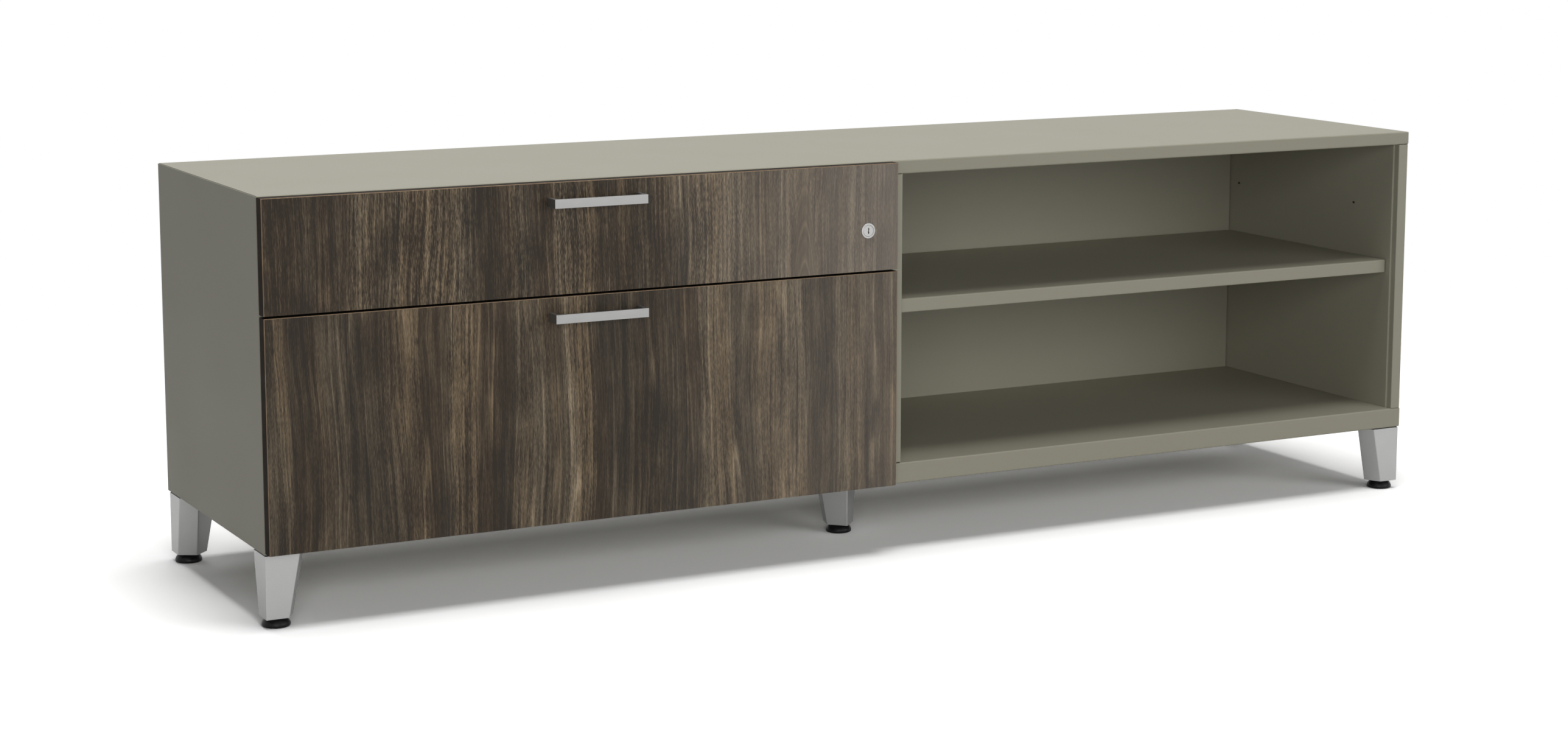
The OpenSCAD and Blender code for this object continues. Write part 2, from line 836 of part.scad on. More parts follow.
// Nut behind the board
module lock_nut() {
    color(zinc) difference() {
        translate([lock_x, board_y, lock_z]) rotate([-90, 30, 0])
            cylinder(h = lock_nut_t, r = lock_nut_r, $fn = 6);
        bar_y(lock_x, lock_z, board_y - past, board_y + lock_nut_t + past,
            lock_barrel_r + fit);
    }
}

// Turning plug with its key slot
module lock_plug() {
    color(satin) difference() {
        union() {
            bar_y(lock_x, lock_z, plug_front_y, barrel_back_y, lock_plug_r);
            bar_y(lock_x, lock_z, barrel_back_y - past, plug_back_y, cam_hub_r);
        }
        box([lock_x - key_w / 2, plug_front_y - past, lock_z - key_h / 2],
            [lock_x + key_w / 2, plug_front_y + key_depth, lock_z + key_h / 2]);
    }
}

// Cam on the plug's tail, hanging down when the drawer is unlocked
module lock_cam() {
    tip = cam_l - cam_w / 2;
    color(zinc) difference() {
        union() {
            bar_y(lock_x, lock_z, cam_y, cam_y + cam_t, cam_w / 2);
            bar_y(lock_x, lock_z - tip, cam_y, cam_y + cam_t, cam_w / 2);
            box([lock_x - cam_w / 2, cam_y, lock_z - tip],
                [lock_x + cam_w / 2, cam_y + cam_t, lock_z]);
        }
        bar_y(lock_x, lock_z, cam_y - past, cam_y + cam_t + past, cam_hub_r + fit);
    }
}

top_panel();
top_stiffeners();
side_panel_left();
side_panel_right();
side_liner_left();
side_liner_right();
centre_partition();
back_panel_left();
back_panel_right();
bottom_panel();
base_rails();
divider_rail();
shelf_clips();
leg_plates();
leg_bolts();
leg(0);  // leg_front_left
leg(1);  // leg_front_right
leg(2);  // leg_back_left
leg(3);  // leg_back_right
leg(4);  // leg_centre
glide(0);  // glide_front_left
glide(1);  // glide_front_right
glide(2);  // glide_back_left
glide(3);  // glide_back_right
glide(4);  // glide_centre
shelf();
upper_front();
upper_front_pan();
upper_tray();
upper_tray_back();
upper_pull();
upper_pull_screws();
upper_bumpers();
lower_front();
lower_front_pan();
lower_tray();
lower_tray_back();
lower_pull();
lower_pull_screws();
lower_bumpers();
file_rails();
slide_case(upper_slide_z, -1);  // upper_slide_case_left
slide_case(upper_slide_z, 1);  // upper_slide_case_right
slide_middle(upper_slide_z, -1);  // upper_slide_middle_left
slide_middle(upper_slide_z, 1);  // upper_slide_middle_right
slide_drawer(upper_slide_z, -1);  // upper_slide_drawer_left
slide_drawer(upper_slide_z, 1);  // upper_slide_drawer_right
slide_case(lower_slide_z, -1);  // lower_slide_case_left
slide_case(lower_slide_z, 1);  // lower_slide_case_right
slide_middle(lower_slide_z, -1);  // lower_slide_middle_left
slide_middle(lower_slide_z, 1);  // lower_slide_middle_right
slide_drawer(lower_slide_z, -1);  // lower_slide_drawer_left
slide_drawer(lower_slide_z, 1);  // lower_slide_drawer_right
lock_housing();
lock_nut();
lock_plug();
lock_cam();
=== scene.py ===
# The looks of an office credenza, built round its packed steel in the order of assembly.
# Metres: X to the right, Y to the back, Z up, with the floor at zero.
import math
import bmesh
import bpy
from mathutils import Matrix, Vector


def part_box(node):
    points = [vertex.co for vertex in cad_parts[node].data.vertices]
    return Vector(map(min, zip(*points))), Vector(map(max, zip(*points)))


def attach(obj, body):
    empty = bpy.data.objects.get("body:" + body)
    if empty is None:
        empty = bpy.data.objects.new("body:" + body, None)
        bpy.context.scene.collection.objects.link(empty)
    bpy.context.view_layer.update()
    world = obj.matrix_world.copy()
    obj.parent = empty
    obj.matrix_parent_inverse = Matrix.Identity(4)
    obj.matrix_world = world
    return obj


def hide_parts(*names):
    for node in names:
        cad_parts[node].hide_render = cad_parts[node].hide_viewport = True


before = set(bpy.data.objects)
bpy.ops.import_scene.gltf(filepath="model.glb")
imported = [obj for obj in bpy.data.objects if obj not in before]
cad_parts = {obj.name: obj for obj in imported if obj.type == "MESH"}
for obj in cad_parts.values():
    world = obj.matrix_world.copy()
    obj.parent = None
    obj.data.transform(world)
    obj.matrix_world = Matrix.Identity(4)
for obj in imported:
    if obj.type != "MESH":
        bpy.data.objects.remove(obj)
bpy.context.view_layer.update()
scene = bpy.context.scene
scene.view_settings.view_transform = "Standard"


# Camera: a long lens in front of the left end, a little above the top, turned to the
# right and tipped down, with the frame shifted against the lens as in the photograph.
camera_place = (-2.034, -3.7405, 0.9974)
camera_yaw, camera_pitch, camera_roll = (math.radians(a) for a in (27.76, 8.77, 0.062))
camera_data = bpy.data.cameras.new("camera")
camera_data.sensor_width = 36
camera_data.lens = 67.68
camera_data.shift_y = -0.05
camera_data.clip_end = 60
camera = bpy.data.objects.new("camera", camera_data)
scene.collection.objects.link(camera)
scene.camera = camera
gaze = Vector((math.sin(camera_yaw) * math.cos(camera_pitch),
               math.cos(camera_yaw) * math.cos(camera_pitch), -math.sin(camera_pitch)))
turned = gaze.to_track_quat("-Z", "Y").to_matrix() @ Matrix.Rotation(camera_roll, 3, "Z")
camera.matrix_world = Matrix.Translation(camera_place) @ turned.to_4x4()


# Studio: a seamless pale floor under white light, a broad soft box overhead and weak
# ones to the front right, front left and rear. The floor keeps the shadow under the case.
class Socket:
    """One output of a shader node; arithmetic on it adds the Math nodes."""

    def __init__(self, sheet, socket):
        self.sheet, self.socket = sheet, socket

    def maths(self, operation, *terms):
        return self.sheet.node("ShaderNodeMath", {"operation": operation},
                               dict(enumerate(terms)))

    def __add__(self, other):
        return self.maths("ADD", self, other)

    def __radd__(self, other):
        return self.maths("ADD", other, self)

    def __sub__(self, other):
        return self.maths("SUBTRACT", self, other)

    def __rsub__(self, other):
        return self.maths("SUBTRACT", other, self)

    def __mul__(self, other):
        return self.maths("MULTIPLY", self, other)

    def __rmul__(self, other):
        return self.maths("MULTIPLY", other, self)

    def __truediv__(self, other):
        return self.maths("DIVIDE", self, other)

    def __rtruediv__(self, other):
        return self.maths("DIVIDE", other, self)

    def __pow__(self, other):
        return self.maths("POWER", self, other)

    def over(self, limit):
        return self.maths("GREATER_THAN", self, limit)

    def highest(self, other):
        return self.maths("MAXIMUM", self, other)

    def held(self):
        return self.sheet.node("ShaderNodeClamp", {}, {"Value": self})

    def absolute(self):
        return self.maths("ABSOLUTE", self)

    def fraction(self):
        return self.maths("FRACT", self)

    def wave(self):
        return self.maths("SINE", self)


class Sheet:
    """The node tree of a material or of the world."""

    def __init__(self, owner):
        owner.use_nodes = True
        self.tree = owner.node_tree
        self.tree.nodes.clear()

    def node(self, kind, settings, sockets, out=0):
        made = self.tree.nodes.new(kind)
        for key, setting in settings.items():
            if key == "stops":
                for i, (place, colour) in enumerate(setting):
                    stops = made.color_ramp.elements
                    stop = stops[i] if i < 2 else stops.new(place)
                    stop.position, stop.color = place, (*colour, 1)
            elif key == "blend":
                made.color_ramp.interpolation = setting
            else:
                setattr(made, key, setting)
        for key, value in sockets.items():
            socket = made.inputs[key]
            if isinstance(value, Socket):
                self.tree.links.new(value.socket, socket)
            elif socket.type == "RGBA":
                socket.default_value = (*value, 1)
            else:
                socket.default_value = value
        return Socket(self, made.outputs[out])

    def mix(self, low, high, factor):
        """Blends two colours."""
        return self.node("ShaderNodeMix", {"data_type": "RGBA"},
                         {0: factor, 6: low, 7: high}, out=2)

    def place(self, scale=(1, 1, 1)):
        """Object coordinates, stretched."""
        here = self.node("ShaderNodeTexCoord", {}, {}, out="Object")
        return self.node("ShaderNodeMapping", {}, {"Vector": here, "Scale": scale})

    def noise(self, where, scale, detail, seed=0.0):
        return self.node("ShaderNodeTexNoise", {"noise_dimensions": "4D"},
                         {"Vector": where, "W": seed, "Scale": scale, "Detail": detail})

    def bump(self, height, distance, strength):
        return self.node("ShaderNodeBump", {},
                         {"Height": height, "Distance": distance, "Strength": strength})

    def output(self, kind, surface):
        end = self.tree.nodes.new(kind)
        self.tree.links.new(surface.socket, end.inputs["Surface"])


def seen_directly(sheet):
    """One for rays from the camera, from a mirror and through glass, else zero."""
    rays = [sheet.node("ShaderNodeLightPath", {}, {}, out=name)
            for name in ("Is Camera Ray", "Is Glossy Ray", "Is Transmission Ray")]
    return rays[0].highest(rays[1]).highest(rays[2])


sky_light = 0.05
sky = bpy.data.worlds.new("studio")
scene.world = sky
sheet = Sheet(sky)
ambient = sheet.node("ShaderNodeBackground", {}, {"Color": (1, 1, 1), "Strength": sky_light})
backdrop = sheet.node("ShaderNodeBackground", {}, {"Color": (1, 1, 1), "Strength": 1.0})
sheet.output("ShaderNodeOutputWorld", sheet.node(
    "ShaderNodeMixShader", {}, {0: seen_directly(sheet), 1: ambient, 2: backdrop}))

floor_tone, floor_seen = 0.35, 1.76
paper_near, paper_far, paper_squeeze, floor_reach = 1.25, 2.3, 0.75, 14.0
floor_paper = bpy.data.materials.new("floor_paper")
sheet = Sheet(floor_paper)
direct = seen_directly(sheet)
near = sheet.node("ShaderNodeBsdfDiffuse", {}, {
    "Color": sheet.mix((floor_tone,) * 3, (floor_seen,) * 3, direct)})
white = sheet.node("ShaderNodeEmission", {}, {"Color": (1, 1, 1), "Strength": 1.0})
distance = sheet.node("ShaderNodeVectorMath", {"operation": "LENGTH"},
                      {0: sheet.place(scale=(paper_squeeze, 1, 1))}, out="Value")
fade = ((distance - paper_near) / (paper_far - paper_near)).held() * direct
sheet.output("ShaderNodeOutputMaterial",
             sheet.node("ShaderNodeMixShader", {}, {0: fade, 1: near, 2: white}))
bm = bmesh.new()
bmesh.ops.create_circle(bm, cap_ends=True, segments=64, radius=floor_reach)
floor_mesh = bpy.data.meshes.new("floor")
bm.to_mesh(floor_mesh)
bm.free()
floor_mesh.materials.append(floor_paper)
floor = bpy.data.objects.new("floor", floor_mesh)
scene.collection.objects.link(floor)

for name, place, aim, width, height, power in (
        ("overhead_box", (0.0, -0.4, 8.0), (0, 0, 0), 3.6, 5.0, 390),
        ("right_box", (2.4, -3.9, 1.35), (0.1, 0, 0.3), 3.2, 1.8, 52),
        ("left_box", (-1.9, -4.1, 1.2), (0.5, 0, 0.3), 2.2, 1.8, 54),
        ("rear_box", (0.3, 4.2, 4.4), (0, 0, 0.3), 3.0, 2.0, 26)):
    lamp = bpy.data.lights.new(name, "AREA")
    lamp.shape = "RECTANGLE"
    lamp.size, lamp.size_y, lamp.energy = width, height, power
    holder = bpy.data.objects.new(name, lamp)
    holder.location = place
    holder.rotation_euler = (Vector(aim) - Vector(place)).to_track_quat("-Z", "Y").to_euler()
    holder.visible_camera = False
    scene.collection.objects.link(holder)


# Bottom panel: one steel sheet folded down on four sides, with lips turned in under its
# front and rear. Its front fascia runs over the ends of the side panels. Powder coated.
hair, facing = 1e-6, 0.99


def prism(bm, axis, start, end, section):
    """Adds a bar along an axis. Each corner of its section is (a, b) or (a, b, radius)."""
    put = {"x": lambda a, b, c: Vector((c, a, b)),
           "y": lambda a, b, c: Vector((a, c, b)),
           "z": lambda a, b, c: Vector((a, b, c))}[axis]
    cap = bm.faces.new([bm.verts.new(put(*corner[:2], start)) for corner in section])
    grown = bmesh.ops.extrude_face_region(bm, geom=[cap])["geom"]
    bmesh.ops.translate(bm, vec=put(0, 0, end - start),
                        verts=[item for item in grown if isinstance(item, bmesh.types.BMVert)])
    bmesh.ops.recalc_face_normals(bm, faces=bm.faces)
    for radius in sorted({corner[2] for corner in section if len(corner) == 3}):
        lines = [(put(*corner[:2], start), put(*corner[:2], end))
                 for corner in section if corner[2:] == (radius,)]
        bends = [edge for edge in bm.edges for line in lines
                 if all(min((vert.co - point).length for point in line) < hair
                        for vert in edge.verts)]
        bmesh.ops.bevel(bm, geom=bends, offset=radius, offset_type="OFFSET", segments=6,
                        profile=0.5, affect="EDGES", clamp_overlap=False, material=-1)


def grow(bm, direction, distance, chosen):
    """Draws out the flat end faces that look one way and whose middle is chosen."""
    way = Vector(direction)
    faces = [face for face in bm.faces
             if face.normal.dot(way) > facing and chosen(face.calc_center_median())]
    grown = bmesh.ops.extrude_face_region(bm, geom=faces)["geom"]
    bmesh.ops.translate(bm, vec=way * distance,
                        verts=[item for item in grown if isinstance(item, bmesh.types.BMVert)])
    bmesh.ops.delete(bm, geom=faces, context="FACES")


def slice_ends(bm, direction, place, normal):
    """Splits the end faces that look along a direction by a plane."""
    bm.normal_update()
    way = Vector(direction)
    faces = [face for face in bm.faces if abs(face.normal.dot(way)) > facing]
    edges = {edge for face in faces for edge in face.edges}
    verts = {vert for face in faces for vert in face.verts}
    bmesh.ops.bisect_plane(bm, geom=[*verts, *edges, *faces], dist=hair,
                           plane_co=place, plane_no=normal)
    bm.normal_update()


def make_piece(name, bm, finishes, body, nodes, edge=0.0003):
    """Makes a piece that rides a body and stands for nodes. Its edges are finely broken,
    or stay sharp where edge is 0."""
    bmesh.ops.recalc_face_normals(bm, faces=bm.faces)
    mesh = bpy.data.meshes.new(name)
    bm.to_mesh(mesh)
    bm.free()
    mesh.shade_smooth()
    for finish in finishes:
        mesh.materials.append(finish)
    thing = bpy.data.objects.new(name, mesh)
    scene.collection.objects.link(thing)
    if edge:
        broken = thing.modifiers.new("broken_edges", "BEVEL")
        broken.width, broken.segments = edge, 2
        broken.limit_method, broken.angle_limit = "ANGLE", math.radians(40)
    else:
        mesh.set_sharp_from_angle(angle=math.radians(35))
    thing.modifiers.new("flat_faces", "WEIGHTED_NORMAL").keep_sharp = not edge
    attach(thing, body)
    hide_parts(*nodes)


def powder_coat(name, colour, roughness):
    """Satin powder coat: a fine pebbled skin with the faint mottle of the cured powder."""
    paint = bpy.data.materials.new(name)
    sheet = Sheet(paint)
    peel = sheet.noise(sheet.place(), scale=900, detail=2)
    speck = sheet.noise(sheet.place(), scale=3200, detail=1, seed=4)
    cloud = sheet.noise(sheet.place(), scale=9, detail=3, seed=9)
    shade = 0.965 + 0.05 * cloud + 0.02 * speck
    tone = sheet.node("ShaderNodeVectorMath", {"operation": "SCALE"},
                      {0: colour, "Scale": shade})
    skin = sheet.node("ShaderNodeBsdfPrincipled", {}, {
        "Base Color": tone, "Roughness": roughness - 0.05 + 0.1 * cloud,
        "Specular IOR Level": 0.2,
        "Normal": sheet.bump(peel + 0.35 * speck, 0.00006, 0.55)})
    sheet.output("ShaderNodeOutputMaterial", skin)
    return paint


paint = powder_coat("warm_grey_paint", (0.352, 0.338, 0.264), 0.5)
sheet_t, seam, bend, lip = 0.0012, 0.0005, 0.002, 0.013
low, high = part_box("top_panel")
half_w, front_y, back_y, top_z = high.x, low.y, high.y, high.z
pan_half = half_w - sheet_t - seam


def case_pan(bm, low_z, high_z):
    """Pan with its web on top: a fascia, a rear flange, two end flanges and two lips."""
    inner = bend - sheet_t
    prism(bm, "x", -pan_half, pan_half, [
        (front_y + lip, low_z), (front_y, low_z, bend), (front_y, high_z, bend),
        (back_y, high_z, bend), (back_y, low_z, bend), (back_y - lip, low_z),
        (back_y - lip, low_z + sheet_t), (back_y - sheet_t, low_z + sheet_t, inner),
        (back_y - sheet_t, high_z - sheet_t, inner),
        (front_y + sheet_t, high_z - sheet_t, inner),
        (front_y + sheet_t, low_z + sheet_t, inner), (front_y + lip, low_z + sheet_t)])
    slice_ends(bm, (1, 0, 0), (0, front_y + sheet_t, 0), (0, 1, 0))
    for side in (-1, 1):
        grow(bm, (side, 0, 0), half_w - pan_half, lambda middle: middle.y < front_y + sheet_t)
        prism(bm, "x", side * (pan_half - sheet_t), side * pan_half, [
            (front_y + 2 * sheet_t, low_z), (front_y + 2 * sheet_t, high_z - sheet_t),
            (back_y - 2 * sheet_t, high_z - sheet_t), (back_y - 2 * sheet_t, low_z)])


base_z, deck_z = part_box("bottom_panel")[0].z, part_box("bottom_panel")[1].z
bm = bmesh.new()
case_pan(bm, base_z, deck_z)
make_piece("bottom_sheet", bm, [paint], "case", ["bottom_panel"])


# Base channels: three folded steel channels under the bottom panel, front to back, that
# carry the legs on bolts. Painted with the case; the bolts are bright zinc plated.
def coat(finish, *names):
    """Gives CAD nodes whose shape stays a finish."""
    for name in names:
        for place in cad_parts[name].material_slots:
            place.material = finish


def metal(name, colour, roughness, grain=(1, 1, 1), fineness=300, depth=0.00002, dull=0.08):
    """Bare or plated metal with a directional grain and cloudy gloss."""
    bare = bpy.data.materials.new(name)
    sheet = Sheet(bare)
    streak = sheet.noise(sheet.place(scale=grain), scale=fineness, detail=3)
    cloud = sheet.noise(sheet.place(), scale=45, detail=3, seed=3)
    tone = sheet.node("ShaderNodeVectorMath", {"operation": "SCALE"},
                      {0: colour, "Scale": 0.9 + 0.12 * cloud + 0.08 * streak})
    sheet.output("ShaderNodeOutputMaterial", sheet.node("ShaderNodeBsdfPrincipled", {}, {
        "Base Color": tone, "Metallic": 1.0,
        "Roughness": roughness - dull + 2 * dull * (0.5 * cloud + 0.5 * streak),
        "Normal": sheet.bump(streak, depth, 0.5)}))
    return bare


zinc = metal("zinc_plate", (0.56, 0.58, 0.60), 0.36)
coat(paint, "base_rails")
coat(zinc, "leg_bolts")


# Legs: five identical die castings, satin silver, tapering down from a square corner.
# Each has two outer faces, two side facets and an inner face, and bolts to a channel.
def dark_plastic(name, colour, roughness, gloss=0.15):
    """Moulded plastic or rubber with a fine even texture and a little dust."""
    moulded = bpy.data.materials.new(name)
    sheet = Sheet(moulded)
    skin = sheet.noise(sheet.place(), scale=2200, detail=2)
    dust = sheet.noise(sheet.place(), scale=60, detail=4, seed=2)
    tone = sheet.mix(colour, tuple(2 * c + 0.006 for c in colour), (dust - 0.45).held())
    sheet.output("ShaderNodeOutputMaterial", sheet.node("ShaderNodeBsdfPrincipled", {}, {
        "Base Color": tone, "Roughness": roughness + 0.2 * (dust - 0.5),
        "Specular IOR Level": gloss, "Normal": sheet.bump(skin, 0.00004, 0.5)}))
    return moulded


def cast_finish(name, colour, roughness):
    """Silver paint on a casting: fine metallic flake over a faintly wavy surface."""
    silver = bpy.data.materials.new(name)
    sheet = Sheet(silver)
    flake = sheet.node("ShaderNodeTexVoronoi", {}, {"Vector": sheet.place(), "Scale": 2600.0},
                       out="Color")
    glint = sheet.node("ShaderNodeSeparateColor", {}, {"Color": flake})
    wave = sheet.noise(sheet.place(), scale=70, detail=2)
    tone = sheet.node("ShaderNodeVectorMath", {"operation": "SCALE"},
                      {0: colour, "Scale": 0.93 + 0.09 * glint + 0.04 * wave})
    sheet.output("ShaderNodeOutputMaterial", sheet.node("ShaderNodeBsdfPrincipled", {}, {
        "Base Color": tone, "Metallic": 0.75, "Roughness": roughness + 0.08 * glint,
        "Coat Weight": 0.15, "Coat Roughness": 0.3,
        "Normal": sheet.bump(wave + 0.02 * glint, 0.0001, 0.4)}))
    return silver


cast_silver = cast_finish("cast_silver_paint", (0.355, 0.355, 0.351), 0.42)
black_plastic = dark_plastic("black_plastic", (0.008, 0.008, 0.008), 0.38)
leg_top_w, leg_foot_w, leg_flare, leg_side, leg_edge = 0.047, 0.031, 0.013, 0.024, 0.0012
leg_foot_z, leg_top_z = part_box("leg_centre")[0].z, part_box("leg_centre")[1].z
leg_corners = {"front_left": (-1, -1, 0), "front_right": (1, -1, 90), "back_left": (-1, 1, -90),
               "back_right": (1, 1, 180), "centre": (0, 0, 45)}


def leg_place(where):
    """Moves a leg drawn from its outer corner to where it stands."""
    side, rear, turn = leg_corners[where]
    low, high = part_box("leg_" + where)
    corner = (side * half_w, high.y if rear > 0 else low.y, 0)
    return Matrix.Translation(corner) @ Matrix.Rotation(math.radians(turn), 4, "Z")


for where in leg_corners:
    bm = bmesh.new()
    rings = []
    for width, height in ((leg_foot_w, leg_foot_z), (leg_top_w, leg_top_z)):
        side = width + leg_flare
        rings.append([bm.verts.new((x, y, height)) for x, y in (
            (0, 0), (width, 0), (side, leg_side), (leg_side, side), (0, width))])
        bm.faces.new(rings[-1])
    edges = [bm.edges.get((ring[i], ring[i - 1])) for ring in rings for i in range(len(ring))]
    bmesh.ops.bridge_loops(bm, edges=edges)
    bmesh.ops.recalc_face_normals(bm, faces=bm.faces)
    upright = [edge for edge in bm.edges
               if abs(edge.verts[0].co.z - edge.verts[1].co.z) > leg_edge]
    bmesh.ops.bevel(bm, geom=upright, offset=leg_edge, offset_type="OFFSET", segments=4,
                    profile=0.5, affect="EDGES", clamp_overlap=True, material=-1)
    bmesh.ops.transform(bm, matrix=leg_place(where), verts=bm.verts)
    make_piece(where + "_cast_leg", bm, [cast_silver], "case", ["leg_" + where],
               edge=0.0005)

coat(black_plastic, "leg_plates")


# Glides: black domed feet on threaded stems, one under each leg, turned to level the
# case. Moulded round the stem's head, with a sloping dome, a round rim and a flat sole.
glide_sides, rim_z, rim_r, neck_in, dome_steps, dome_curve = 64, 0.0034, 0.0026, 0.0068, 12, 1.8
glide_stem_r, glide_gap = 0.005, 0.0001
quarter_turn = [math.radians(step) for step in range(0, 91, 15)]
for where in leg_corners:
    low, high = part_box("glide_" + where)
    middle_x, middle_y = (low.x + high.x) / 2, (low.y + high.y) / 2
    radius, dome_h = (high.x - low.x) / 2, leg_foot_z - glide_gap - rim_z
    profile = [(0, 0)]
    profile += [(radius - rim_r + rim_r * math.sin(a), rim_r * (1 - math.cos(a)))
                for a in quarter_turn]
    profile += [(radius - neck_in * (step / dome_steps) ** dome_curve,
                 rim_z + dome_h * step / dome_steps) for step in range(dome_steps + 1)]
    profile += [(glide_stem_r, leg_foot_z - glide_gap), (glide_stem_r, high.z), (0, high.z)]
    bm = bmesh.new()
    chain = [bm.verts.new((middle_x + r, middle_y, z)) for r, z in profile]
    outline = [bm.edges.new(pair) for pair in zip(chain, chain[1:])]
    bmesh.ops.spin(bm, geom=[*chain, *outline], cent=(middle_x, middle_y, 0), axis=(0, 0, 1),
                   angle=2 * math.pi, steps=glide_sides, use_merge=True)
    bmesh.ops.remove_doubles(bm, verts=bm.verts, dist=hair)
    make_piece(where + "_domed_glide", bm, [black_plastic], "levelling_glide_" + where,
               ["glide_" + where], edge=0)


# Side panels: outer steel skins with hemmed front flanges and lips turned back from them.
# Their webs run past both fascias, behind the fascias' ends, and stop just under the top.
flange_w, hem_t, flange_lip, flange_fold, side_drop = 0.0172, 0.0018, 0.010, 0.0012, 0.0006
fascia_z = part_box("top_panel")[0].z
for side, word in ((-1, "left"), (1, "right")):
    bm = bmesh.new()
    prism(bm, "z", deck_z + seam, fascia_z - seam, [
        (side * (half_w - flange_w), front_y, flange_fold), (side * half_w, front_y, bend),
        (side * half_w, back_y, bend), (side * (half_w - flange_w), back_y),
        (side * (half_w - flange_w), back_y - sheet_t),
        (side * (half_w - sheet_t), back_y - sheet_t, bend - sheet_t),
        (side * (half_w - sheet_t), front_y + hem_t),
        (side * (half_w - flange_w + sheet_t), front_y + hem_t),
        (side * (half_w - flange_w + sheet_t), front_y + flange_lip),
        (side * (half_w - flange_w), front_y + flange_lip)])
    web_x, web_y = half_w - sheet_t, front_y + sheet_t + seam
    slice_ends(bm, (0, 0, 1), (side * web_x, 0, 0), (1, 0, 0))
    slice_ends(bm, (0, 0, 1), (0, web_y, 0), (0, 1, 0))
    for way, distance in ((1, top_z - side_drop - fascia_z + seam), (-1, deck_z + seam - base_z)):
        grow(bm, (0, 0, way), distance,
             lambda middle: abs(middle.x) > web_x and middle.y > web_y)
    make_piece(word + "_skin", bm, [paint], "case", ["side_panel_" + word],
               edge=0)


# Liners: inner steel walls of the two bays, set back behind the skins' lips, with flanges
# turned towards the skins. The right one is punched for the shelf clips, as is the partition.
def punched(bm, tool):
    """The first mesh with the second taken away."""
    block, cutter = (bpy.data.objects.new(n, bpy.data.meshes.new(n)) for n in ("block", "cutter"))
    for thing, shape in ((block, bm), (cutter, tool)):
        bmesh.ops.recalc_face_normals(shape, faces=shape.faces)
        shape.to_mesh(thing.data)
        shape.free()
        scene.collection.objects.link(thing)
    holes = block.modifiers.new("holes", "BOOLEAN")
    holes.operation, holes.object, holes.solver = "DIFFERENCE", cutter, "EXACT"
    cut = bmesh.new()
    cut.from_object(block, bpy.context.evaluated_depsgraph_get())
    for thing in (block, cutter):
        mesh = thing.data
        bpy.data.objects.remove(thing)
        bpy.data.meshes.remove(mesh)
    return cut


def add_box(bm, low, high):
    """Adds a plain block between two corners."""
    size = Vector(high) - Vector(low)
    block = Matrix.Translation((Vector(low) + Vector(high)) / 2) @ Matrix.Diagonal((*size, 1))
    bmesh.ops.create_cube(bm, size=1, matrix=block)


liner_x, part_x = -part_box("side_liner_left")[1].x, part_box("centre_partition")[1].x
liner_t = 0.001
slot_rows, slot_l, slot_h, slot_pitch = (-0.09285, 0.2063), 0.006, 0.003, 0.1015
cut_before, cut_after = 0.001, 0.002
shelf_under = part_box("shelf")[0].z


def shelf_slots(low_x, high_x):
    """The cutter for a wall's four slots, between two X places."""
    tool = bmesh.new()
    for y in slot_rows:
        for z in (shelf_under, shelf_under + slot_pitch):
            add_box(tool, (low_x, y - slot_l / 2, z - slot_h), (high_x, y + slot_l / 2, z))
    return tool


for side, word in ((-1, "left"), (1, "right")):
    outer, front, rear = half_w - sheet_t - seam, front_y + flange_lip, back_y - sheet_t
    bm = bmesh.new()
    prism(bm, "z", deck_z, fascia_z, [
        (side * outer, front), (side * liner_x, front, bend), (side * liner_x, rear),
        (side * outer, rear), (side * outer, rear - liner_t),
        (side * (liner_x + liner_t), rear - liner_t),
        (side * (liner_x + liner_t), front + liner_t, bend - liner_t),
        (side * outer, front + liner_t)])
    if side > 0:
        bm = punched(bm, shelf_slots(liner_x - cut_before, liner_x + cut_after))
    make_piece(word + "_liner", bm, [paint], "case", ["side_liner_" + word],
               edge=0.0002)


# Partition: a steel box wall between the drawers and the open bay, folded from one
# sheet that meets in a seam at the back, and punched for clips and the lock's cam.
partition_gap, meet = 0.0016, 0.00015
wall_top, wall_foot = fascia_z - seam, deck_z + partition_gap
cam_slot_front, cam_slot_rear, cam_slot_foot, cam_slot_top = -0.19445, -0.18705, 0.4345, 0.4737
bm = bmesh.new()
prism(bm, "z", wall_foot, wall_top, [
    (-meet, back_y), (-part_x, back_y, bend), (-part_x, front_y, bend),
    (part_x, front_y, bend), (part_x, back_y, bend), (meet, back_y),
    (meet, back_y - sheet_t), (part_x - sheet_t, back_y - sheet_t, bend - sheet_t),
    (part_x - sheet_t, front_y + hem_t), (-part_x + sheet_t, front_y + hem_t),
    (-part_x + sheet_t, back_y - sheet_t, bend - sheet_t), (-meet, back_y - sheet_t)])
slice_ends(bm, (0, 0, 1), (0, front_y + hem_t, 0), (0, 1, 0))
for way, distance in ((1, fascia_z - wall_top), (-1, wall_foot - deck_z)):
    grow(bm, (0, 0, way), distance, lambda middle: middle.y > front_y + hem_t)
bm = punched(bm, shelf_slots(part_x - cut_after, part_x + cut_before))
tool = bmesh.new()
add_box(tool, (-part_x - cut_before, cam_slot_front, cam_slot_foot),
        (-part_x + cut_after, cam_slot_rear, cam_slot_top))
bm = punched(bm, tool)
make_piece("partition_wall", bm, [paint], "case", ["centre_partition"])


# Back panels: flat hollow steel panels that close the two bays, set between the walls
# with a small even gap and flush with the rear flanges.
for name, word in (("back_panel_left", "left"), ("back_panel_right", "right")):
    low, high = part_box(name)
    bm = bmesh.new()
    prism(bm, "z", low.z, high.z, [(low.x, low.y, bend), (high.x, low.y, bend),
                                   (high.x, high.y, bend), (low.x, high.y, bend)])
    make_piece(word + "_back_sheet", bm, [paint], "case", [name])


